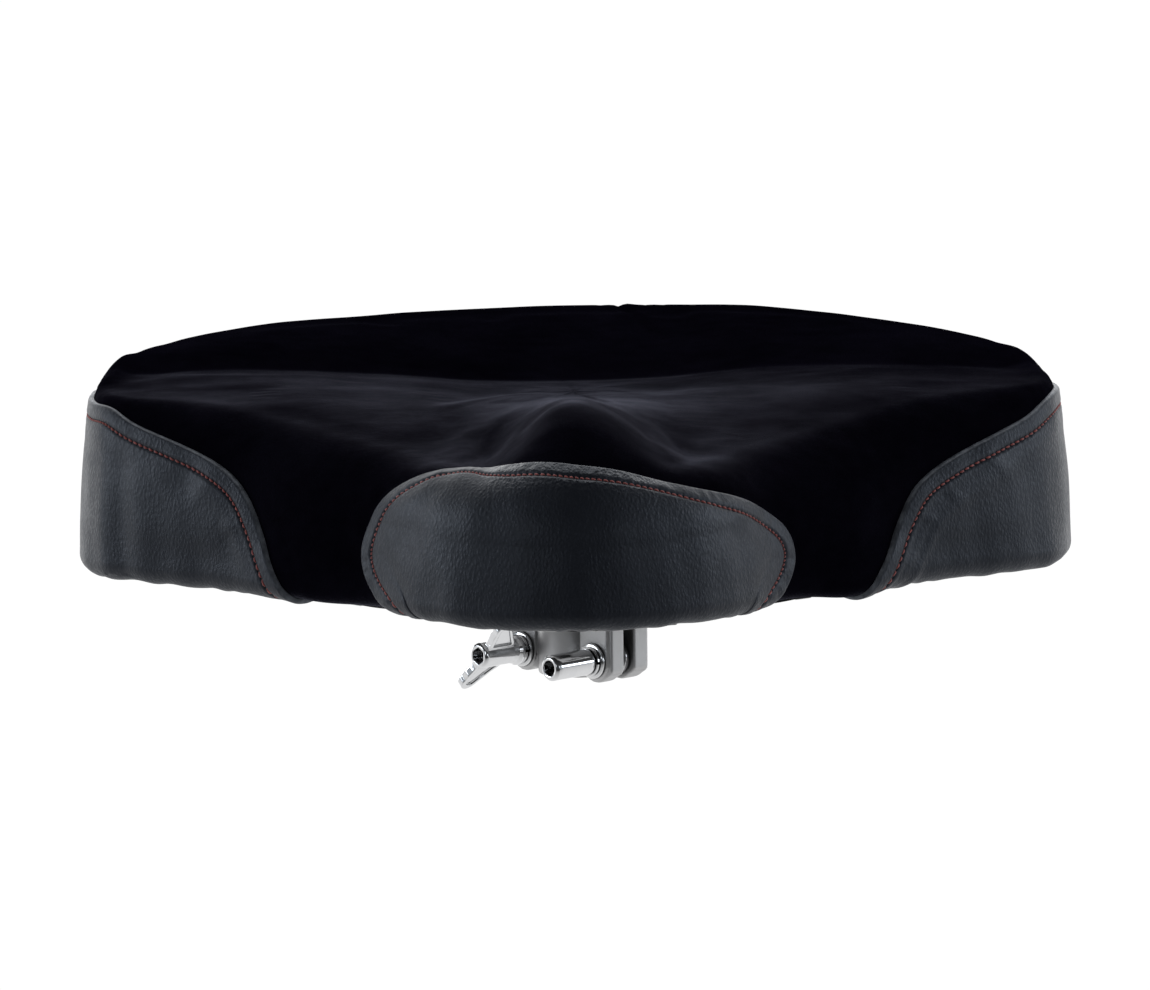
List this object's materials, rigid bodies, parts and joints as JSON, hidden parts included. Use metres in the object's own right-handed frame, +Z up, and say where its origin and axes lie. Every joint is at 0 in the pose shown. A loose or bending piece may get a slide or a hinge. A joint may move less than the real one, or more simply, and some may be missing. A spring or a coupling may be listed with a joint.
{
  "type": "drum throne saddle top",
  "caption": "Wide saddle-shaped padded drum throne top with a raised pommel, an upswept back, leatherette side and nose panels, and a split post clamp with wing nut underneath.",
  "frame": {"origin": "centre of the flat stop face at the blind upper end of the post bore, on the post axis", "axes": "+Z up along the post axis, -Y towards the pommel (front of the seat), +X to the right as seen from the front"},
  "size_m": [0.494, 0.3564, 0.1711],
  "materials": {
    "velour": "short-pile matt black velour",
    "leatherette": "satin pebble-grain charcoal leatherette",
    "foam": "moulded foam",
    "plywood": "bare plywood",
    "dust_cloth": "non-woven black cloth",
    "casting": "satin bead-blasted casting",
    "chrome": "bright chrome",
    "zinc": "bright zinc plate",
    "steel": "bright threaded steel"
  },
  "bodies": {
    "seat": {"seat_board": "plywood", "tee_nut_1": "zinc", "tee_nut_2": "zinc", "tee_nut_3": "zinc", "tee_nut_4": "zinc", "foam_cushion": "foam", "velour_top_cover": "velour", "left_side_panel": "leatherette", "right_side_panel": "leatherette", "front_nose_panel": "leatherette", "dust_cover": "dust_cloth", "clamp_body": "casting", "plate_screw_1": "zinc", "plate_screw_2": "zinc", "plate_screw_3": "zinc", "plate_screw_4": "zinc", "plate_lock_washer_1": "zinc", "plate_lock_washer_2": "zinc", "plate_lock_washer_3": "zinc", "plate_lock_washer_4": "zinc", "wing_stud": "steel", "barrel_stud": "steel", "wing_stud_jam_nut": "chrome", "barrel_stud_jam_nut": "chrome"},
    "front_jaw": {"clamp_cap": "casting"},
    "wing_washers": {"wing_flat_washer": "chrome", "wing_spring_washer": "chrome"},
    "wing_nut": {"wing_nut": "chrome"},
    "barrel_washers": {"barrel_flat_washer": "chrome", "barrel_spring_washer": "chrome"},
    "barrel_nut": {"barrel_nut": "chrome"}
  },
  "joints": [
    {"name": "wing_washer_slide", "type": "slide", "parent": "seat", "child": "wing_washers", "axis": [-0.7314, -0.682, 0], "range_m": [-0.00063, 0.00252]},
    {"name": "wing_nut_turn", "type": "hinge", "parent": "wing_washers", "child": "wing_nut", "pos_m": [-0.0269, 0.00978, -0.0353], "axis": [-0.7314, -0.682, 0], "range_deg": [-180, 720]},
    {"name": "front_jaw_tilt", "type": "hinge", "parent": "seat", "child": "front_jaw", "pos_m": [0.00243, -0.02166, -0.027], "axis": [0, 0, 1], "range_deg": [-0.7, 2.8]},
    {"name": "barrel_washer_slide", "type": "slide", "parent": "seat", "child": "barrel_washers", "axis": [-0.7314, -0.682, 0], "range_m": [0, 0.00502]},
    {"name": "barrel_nut_turn", "type": "hinge", "parent": "barrel_washers", "child": "barrel_nut", "pos_m": [0.00788, -0.02752, -0.0353], "axis": [-0.7314, -0.682, 0], "range_deg": [0, 1440]}
  ],
  "couplings": [
    {"joint": "wing_washer_slide", "follows": "wing_nut_turn", "m_per_rad": 0.00019894},
    {"joint": "front_jaw_tilt", "follows": "wing_nut_turn", "ratio": 0.003848},
    {"joint": "barrel_washer_slide", "follows": "barrel_nut_turn", "m_per_rad": 0.00019894}
  ]
}
